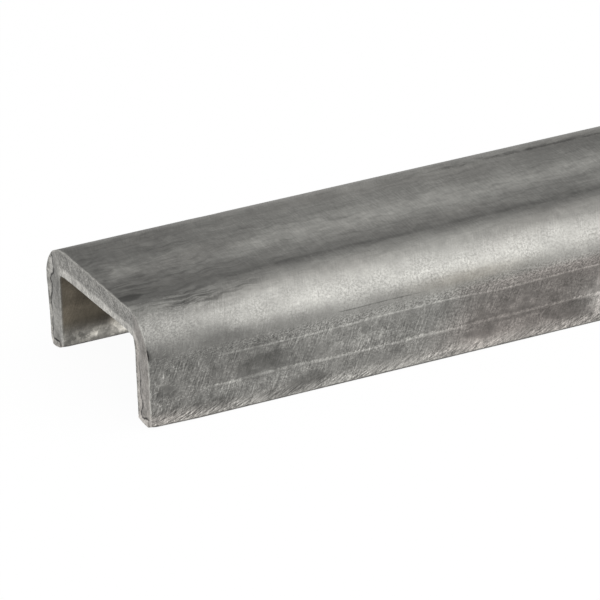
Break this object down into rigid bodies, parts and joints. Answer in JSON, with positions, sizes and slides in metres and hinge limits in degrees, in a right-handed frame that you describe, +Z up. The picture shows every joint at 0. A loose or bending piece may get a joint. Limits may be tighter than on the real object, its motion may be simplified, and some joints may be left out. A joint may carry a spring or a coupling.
{
  "type": "steel c-channel",
  "caption": "Cut length of plain steel C-channel, bent from strip, with rounded outer bends and square toes, for welding, drilling and framing.",
  "frame": {"origin": "on the floor under the middle of the channel, between the toes of its flanges", "axes": "+X along the channel, +Y across the web, +Z up from the flange toes to the web"},
  "size_m": [0.3048, 0.0254, 0.0127],
  "materials": {
    "steel": "bare mill finish, cloudy grey, rubbed bright along the bends"
  },
  "bodies": {
    "root": {"c_channel": "steel"}
  },
  "joints": []
}
